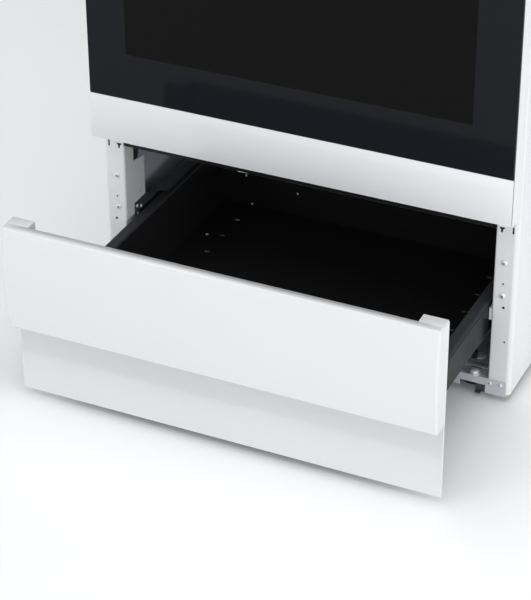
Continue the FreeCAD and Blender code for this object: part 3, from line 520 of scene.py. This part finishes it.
def makeDoor():
    low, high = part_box("door_shell")
    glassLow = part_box("door_outer_glass")[0]
    face = low.y
    shape = copyOf("door_shell")
    geometry = list(shape.verts) + list(shape.edges) + list(shape.faces)
    bmesh.ops.bisect_plane(shape, geom=geometry, dist=mergeGap, plane_co=(0, doorLook["glassBack"], 0),
                           plane_no=(0, -1, 0), clear_outer=True)
    rimEdges = [e for e in shape.edges if len(e.link_faces) == 1]
    bmesh.ops.triangle_fill(shape, use_beauty=True, edges=rimEdges)
    bmesh.ops.dissolve_limit(shape, angle_limit=flatAngle, verts=shape.verts, edges=shape.edges)

    def onCorner(edge):
        atSide, atBack = high.x - doorLook["side"], doorLook["glassBack"] + doorLook["backSlack"]
        if not all(abs(v.co.x) > atSide and v.co.y < atBack for v in edge.verts):
            return False
        return abs(edge.verts[0].co.z - edge.verts[1].co.z) > doorLook["longEdge"]

    bevelled(shape, [e for e in shape.edges if onCorner(e)], doorLook["cornerRadius"], 5)
    bmesh.ops.recalc_face_normals(shape, faces=shape.faces)
    addPiece("door_body", shape, "door", "white_enamel", ownFinish["door_shell"], replaces=("door_shell",))

    panel = bmesh.new()
    foot, head = low.z + doorLook["panelFoot"], glassLow.z - doorLook["glassGap"]
    slab(panel, (-high.x, face, foot), (high.x, face + doorLook["panelSheet"], head), 0.0005)
    addPiece("door_lower_panel", panel, "door", "white_enamel", ownFinish["door_shell"])
    # painted shadow: a black strip behind the lower panel, whose edges stand in for the shade in the gap before the
    # rounded door corner
    seal = bmesh.new()
    inset = doorLook["shadeStripInset"]
    slab(seal, (-high.x + inset, face + doorLook["panelSheet"], low.z + doorLook["shadeStripFoot"]),
         (high.x - inset, doorLook["glassBack"], head), 0.0003)
    addPiece("door_panel_shade_strip", seal, "door", "black_steel")


postLook = {"sheet": 0.0012, "inner": 0.2712, "backerOut": 0.2955, "low": 0.036, "high": 0.2610, "return": 0.0530,
            "slantFrom": (0.0, 0.0520, 0.2620), "slantWay": (0.0, 0.94, -0.34), "thick": 0.0008, "gap": 0.0004}


# near-black sheets inside the posts, a painted shade seen through every hole in them
def makePostShadeBackers():
    shape = bmesh.new()
    near = postLook["sheet"] + postLook["gap"]
    for side in (-1, 1):
        inner = side * (postLook["inner"] + postLook["sheet"] + postLook["gap"])
        outer = side * postLook["backerOut"]
        xs = sorted((inner, outer))
        slab(shape, (xs[0], near, postLook["low"]), (xs[1], near + postLook["thick"], postLook["high"]), 0.0002, 1)
        xs = sorted((inner, inner + side * postLook["thick"]))
        slab(shape, (xs[0], near, postLook["low"]), (xs[1], postLook["return"], postLook["high"]), 0.0002, 1)
    geometry = list(shape.verts) + list(shape.edges) + list(shape.faces)
    cut = bmesh.ops.bisect_plane(shape, geom=geometry, dist=mergeGap, plane_co=postLook["slantFrom"],
                                 plane_no=postLook["slantWay"], clear_outer=True)["geom_cut"]
    bmesh.ops.holes_fill(shape, edges=[g for g in cut if isinstance(g, bmesh.types.BMEdge)], sides=0)
    addPiece("post_shade_backers", shape, "cabinet", "black_steel", finishes["foot_plastic"])


screwLook = {"flange": 0.0045, "flangeHigh": 0.0008, "head": 0.0039, "headHigh": 0.0021, "cross": 0.0034,
             "crossWide": 0.00055, "turns": (35.0, 125.0), "shank": 0.003}


# washer-head screws; the cross recess is thin mid-grey bars across the head top, a painted recess shade
def screwHead(metal, dark, spot, axis, scale=1.0):
    spot, axis = Vector(spot), Vector(axis)
    top = spot + axis * screwLook["headHigh"] * scale
    rod(metal, spot - axis * screwLook["shank"], spot + axis * screwLook["flangeHigh"] * scale,
        screwLook["flange"] * scale, 26, 0.0003)
    dome(metal, spot, axis, screwLook["head"] * scale, screwLook["headHigh"] * scale, 20)
    across = axis.cross(Vector((0, 0, 1))) if abs(axis.z) < 0.5 else Vector((1, 0, 0))
    for turn in screwLook["turns"]:
        way = (Matrix.Rotation(math.radians(turn), 3, axis) @ across) * screwLook["cross"] * scale * 0.5
        rod(dark, top - way, top + way, screwLook["crossWide"] * scale, 8)


bodyScrews = {"post": ((0.2849, 0.2157), (0.2849, 0.1656), (-0.2836, 0.2170), (-0.2836, 0.1673)),
              "end": (0.2746, 0.2896), "endHigh": 0.0264, "endFace": -0.0012, "endScale": 0.66,
              "holes": ((0.2848, 0.1840, 0.00125), (0.2872, 0.1480, 0.0019), (0.2912, 0.0952, 0.0013)),
              "rivets": ((0.0288, 0.1568), (0.0400, 0.1512), (0.0296, 0.1440)), "rivetFace": 0.2700,
              "rivetRadius": 0.0028, "rivetHigh": 0.0016, "boltSpot": (0.2505, 0.0064, 0.0320), "washer": 0.0080,
              "washerHigh": 0.0010, "boss": (0.2438, 0.0460, 0.0340), "bossRadius": 0.0085, "bossHigh": 0.0020,
              "seam": (0.2385, 0.2620, 0.0262, 0.0278), "seamHigh": 0.0002, "hex": 0.0062, "hexHigh": 0.0050,
              "hexDome": 0.72, "hexDomeHigh": 0.0008, "holeProud": 0.00015, "holeDeep": 0.0009}


def makeBodyScrews():
    metal, cross, dark = bmesh.new(), bmesh.new(), bmesh.new()
    for x, z in bodyScrews["post"]:
        screwHead(metal, cross, (x, 0.0, z), (0, -1, 0))
    for side in (-1, 1):
        for x in bodyScrews["end"]:
            screwHead(metal, cross, (side * x, bodyScrews["endFace"], bodyScrews["endHigh"]), (0, -1, 0),
                      bodyScrews["endScale"])
        for y, z in bodyScrews["rivets"]:
            dome(metal, (side * bodyScrews["rivetFace"], y, z), (-side, 0, 0), bodyScrews["rivetRadius"],
                 bodyScrews["rivetHigh"], 16)
        x, y, z = bodyScrews["boltSpot"]
        foot, up = Vector((side * x, y, z)), Vector((0, 0, 1))
        rod(metal, foot, foot + up * bodyScrews["washerHigh"], bodyScrews["washer"], 28, 0.0003)
        rod(metal, foot + up * bodyScrews["washerHigh"], foot + up * bodyScrews["hexHigh"], bodyScrews["hex"], 6,
            0.0006)
        dome(metal, foot + up * bodyScrews["hexHigh"], up, bodyScrews["hex"] * bodyScrews["hexDome"],
             bodyScrews["hexDomeHigh"])
        x, y, z = bodyScrews["boss"]
        dome(metal, (side * x, y, z), (0, 0, 1), bodyScrews["bossRadius"], bodyScrews["bossHigh"], 28)
        # painted shadow: a thin near-black slab across the rail top at the step, standing in for the shade line there
        innerX, outerX, nearY, farY = bodyScrews["seam"]
        xs = sorted((side * innerX, side * outerX))
        slab(dark, (xs[0], nearY, z - bodyScrews["seamHigh"]), (xs[1], farY, z + bodyScrews["seamHigh"]))
        # painted shade: near-black discs set in the post holes, standing in for the dark inside them
        for x, z, radius in bodyScrews["holes"]:
            rod(dark, (side * x, -bodyScrews["holeProud"], z), (side * x, bodyScrews["holeDeep"], z), radius, 18)
    addPiece("body_screw_heads", metal, "cabinet", "zinc_screws", replaces=("body_screws",))
    addPiece("body_screw_crosses", cross, "cabinet", "zinc_screws", finishes["screw_recess"])
    addPiece("post_hole_and_seam_shade", dark, "cabinet", "black_steel", finishes["foot_plastic"])


knobLook = {"markWide": 0.0009, "markFrom": 0.0050, "markTo": 0.0165, "skin": 0.0004, "dots": 7, "sweep": 270.0,
            "ring": 0.0252, "dot": 0.0010, "print": 0.00012}


# pointer line on each knob and a ring of printed dots round it
def makeKnobMarks():
    knobs = {"burner_knob_%d" % n: "knob_%d" % n for n in (1, 2, 3, 4)}
    knobs["oven_knob"] = "oven_dial"
    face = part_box("control_panel")[0].y
    dots = bmesh.new()
    for node, body in knobs.items():
        low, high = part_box(node)
        middle = (low + high) / 2
        line = bmesh.new()
        slab(line, (middle.x - knobLook["markWide"], low.y - knobLook["skin"], middle.z + knobLook["markFrom"]),
             (middle.x + knobLook["markWide"], low.y + 0.001, middle.z + knobLook["markTo"]), 0.0003, 1)
        addPiece(node + "_pointer", line, body, "knob_plastic", finishes["foot_plastic"])
        for step in range(knobLook["dots"]):
            turn = math.radians(90.0 + knobLook["sweep"] * (step / (knobLook["dots"] - 1.0) - 0.5))
            x = middle.x + knobLook["ring"] * math.cos(turn)
            z = middle.z + knobLook["ring"] * math.sin(turn)
            rod(dots, (x, face + 0.0004, z), (x, face - knobLook["print"], z), knobLook["dot"], 12)
    addPiece("knob_dots", dots, "cabinet", "foot_plastic", finishes["foot_plastic"])


grateLook = {"soften": 0.0016, "sharp": 40.0}


def makeGrates():
    shape = copyOf("grates")
    edges = [e for e in shape.edges if e.is_manifold and e.calc_face_angle(0.0) > math.radians(grateLook["sharp"])]
    bevelled(shape, edges, grateLook["soften"], 2)
    addPiece("grate_bars", shape, "cabinet", "cast_iron_grate", replaces=("grates",))


bezelLook = {"wide": 0.0028, "proud": 0.0012, "deep": 0.0015}


# raised surround of the clock window
def makeBezel():
    low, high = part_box("display_window")
    near, far = low.y - bezelLook["proud"], low.y + bezelLook["deep"]
    wide = bezelLook["wide"]
    shape = bmesh.new()
    for z in (low.z - wide, high.z):
        slab(shape, (low.x - wide, near, z), (high.x + wide, far, z + wide), 0.0004)
    for x in (low.x - wide, high.x):
        slab(shape, (x, near, low.z - wide), (x + wide, far, high.z + wide), 0.0004)
    addPiece("display_surround", shape, "cabinet", "button_plastic", finishes["button_plastic"])


rearLook = {"inset": 0.0085, "rows": (0.075, 0.30, 0.525, 0.75, 0.865), "columns": (-0.16, 0.0, 0.16), "foot": 0.050,
            "scale": 0.95}
beadLook = {"half": 0.235, "rows": (0.205, 0.335, 0.465, 0.765), "radius": 0.0075, "proud": 0.24, "sides": 28}
coverLook = {"x": (-0.235, -0.125), "z": (0.095, 0.175), "deep": 0.019, "edge": 0.0025, "lip": 0.010, "sheet": 0.0012,
             "screws": ((-0.2400, 0.135), (-0.1200, 0.135)), "grommet": (-0.18, 0.0092), "grommetHigh": 0.003}


# pressed ribs across the rear sheet
def makeRearBeads():
    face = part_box("rear_panel")[1].y
    shape = bmesh.new()
    for z in beadLook["rows"]:
        rod(shape, (-beadLook["half"], 0.0, z), (beadLook["half"], 0.0, z), beadLook["radius"], beadLook["sides"])
        for side in (-1, 1):
            dome(shape, (side * beadLook["half"], 0.0, z), (0, 1, 0), beadLook["radius"], beadLook["radius"],
                 beadLook["sides"])
    for v in shape.verts:
        v.co.y = face + v.co.y * beadLook["proud"]
    addPiece("rear_beads", shape, "cabinet", "galvanised_steel")


# cover over the wiring entry
def makeWiringCover():
    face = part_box("rear_panel")[1].y
    shape, metal, cross, ring = bmesh.new(), bmesh.new(), bmesh.new(), bmesh.new()
    xs, zs, lip = coverLook["x"], coverLook["z"], coverLook["lip"]
    slab(shape, (xs[0], face - 0.0005, zs[0]), (xs[1], face + coverLook["deep"], zs[1]), coverLook["edge"], 3)
    slab(shape, (xs[0] - lip, face - 0.0005, zs[0]), (xs[1] + lip, face + coverLook["sheet"], zs[1]), 0.0004, 1)
    addPiece("wiring_cover", shape, "cabinet", "galvanised_steel", finishes["cover_sheet"])
    for x, z in coverLook["screws"]:
        screwHead(metal, cross, (x, face + coverLook["sheet"], z), (0, 1, 0), rearLook["scale"])
    addPiece("wiring_cover_screws", metal, "cabinet", "zinc_screws")
    addPiece("wiring_cover_crosses", cross, "cabinet", "zinc_screws", finishes["screw_recess"])
    x, radius = coverLook["grommet"]
    middle = (zs[0] + zs[1]) / 2
    top = face + coverLook["deep"]
    rod(ring, (x, top - 0.001, middle), (x, top + coverLook["grommetHigh"] - 0.0005, middle), radius, 32, 0.0008)
    addPiece("wiring_grommet", ring, "cabinet", "foot_plastic")


def makeRearScrews():
    low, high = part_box("rear_panel")
    metal, cross = bmesh.new(), bmesh.new()
    spots = [(x, z) for x in (low.x + rearLook["inset"], high.x - rearLook["inset"]) for z in rearLook["rows"]]
    spots += [(x, rearLook["foot"]) for x in rearLook["columns"]]
    for x, z in spots:
        screwHead(metal, cross, (x, high.y, z), (0, 1, 0), rearLook["scale"])
    addPiece("rear_screw_heads", metal, "cabinet", "zinc_screws")
    addPiece("rear_screw_crosses", cross, "cabinet", "zinc_screws", finishes["screw_recess"])


view = {"aim": (0.0176, -0.16, 0.1809), "turn": 25.12, "tilt": 31.79, "roll": -0.29, "distance": 2.8886,
        "lens": 134.1}


def placeCamera():
    lens = bpy.data.cameras.new("camera")
    lens.lens = view["lens"]
    lens.clip_end = 60.0
    camera = bpy.data.objects.new("camera", lens)
    turn = Matrix.Rotation(math.radians(view["turn"]), 4, "Z")
    tilt = Matrix.Rotation(math.radians(90.0 - view["tilt"]), 4, "X")
    roll = Matrix.Rotation(math.radians(view["roll"]), 4, "Z")
    back = Matrix.Translation((0.0, 0.0, view["distance"]))
    camera.matrix_world = Matrix.Translation(view["aim"]) @ turn @ tilt @ roll @ back
    bpy.context.scene.collection.objects.link(camera)
    bpy.context.scene.camera = camera


def layFloor():
    made = Finish("floor")
    cloud = made.noise(1.5, 3.0)
    base = made.blend(cloud.ramp(0.3, 0.7), grey(0.94), grey(0.96))
    material = made.surface(base=base, rough=cloud.ramp(0.3, 0.7, 0.7, 0.8))
    mesh = bpy.data.meshes.new("floor")
    shape = bmesh.new()
    bmesh.ops.create_grid(shape, x_segments=1, y_segments=1, size=9.0)
    shape.to_mesh(mesh)
    shape.free()
    mesh.materials.append(material)
    floor = bpy.data.objects.new("floor", mesh)
    bpy.context.scene.collection.objects.link(floor)


def softLight(name, place, aim, size, power):
    lamp = bpy.data.lights.new(name, "AREA")
    lamp.shape = "RECTANGLE"
    lamp.size = size[0]
    lamp.size_y = size[1]
    lamp.energy = power
    light = bpy.data.objects.new(name, lamp)
    light.location = place
    light.rotation_euler = (Vector(aim) - Vector(place)).to_track_quat("-Z", "Y").to_euler()
    bpy.context.scene.collection.objects.link(light)


def lightStudio():
    world = bpy.data.worlds.new("studio")
    world.use_nodes = True
    world.node_tree.nodes["Background"].inputs["Color"].default_value = (0.97, 0.985, 1.0, 1.0)
    world.node_tree.nodes["Background"].inputs["Strength"].default_value = 0.55
    bpy.context.scene.world = world
    softLight("overhead", (0.2, -0.9, 3.4), (0.0, -0.2, 0.0), (4.2, 3.4), 50.0)
    softLight("window side", (-2.2, -3.2, 1.5), (0.0, 0.0, 0.25), (2.0, 1.6), 26.0)
    softLight("front right", (1.3, -3.2, 1.2), (-0.1, 0.0, 0.15), (1.8, 1.0), 19.0)
    softLight("right side", (3.3, -1.1, 0.95), (0.0, 0.05, 0.3), (1.8, 1.3), 38.0)
    softLight("behind", (0.0, 2.2, 3.0), (0.0, 0.2, 0.5), (3.0, 2.0), 8.0)
    bpy.context.scene.view_settings.view_transform = "Standard"


placeCamera()
layFloor()
lightStudio()
print("camera, floor and light placed")
buildFinishes()
dressFrame()
print("frame dressed in", len(finishes), "finishes")
makeDrawerFront()
makePanGlintStuds()
print("drawer made")
makeDoor()
print("door made")
makePostShadeBackers()
makeBodyScrews()
print("cabinet details made")
makeKnobMarks()
makeGrates()
makeBezel()
makeRearScrews()
makeRearBeads()
makeWiringCover()
print("upper details made")
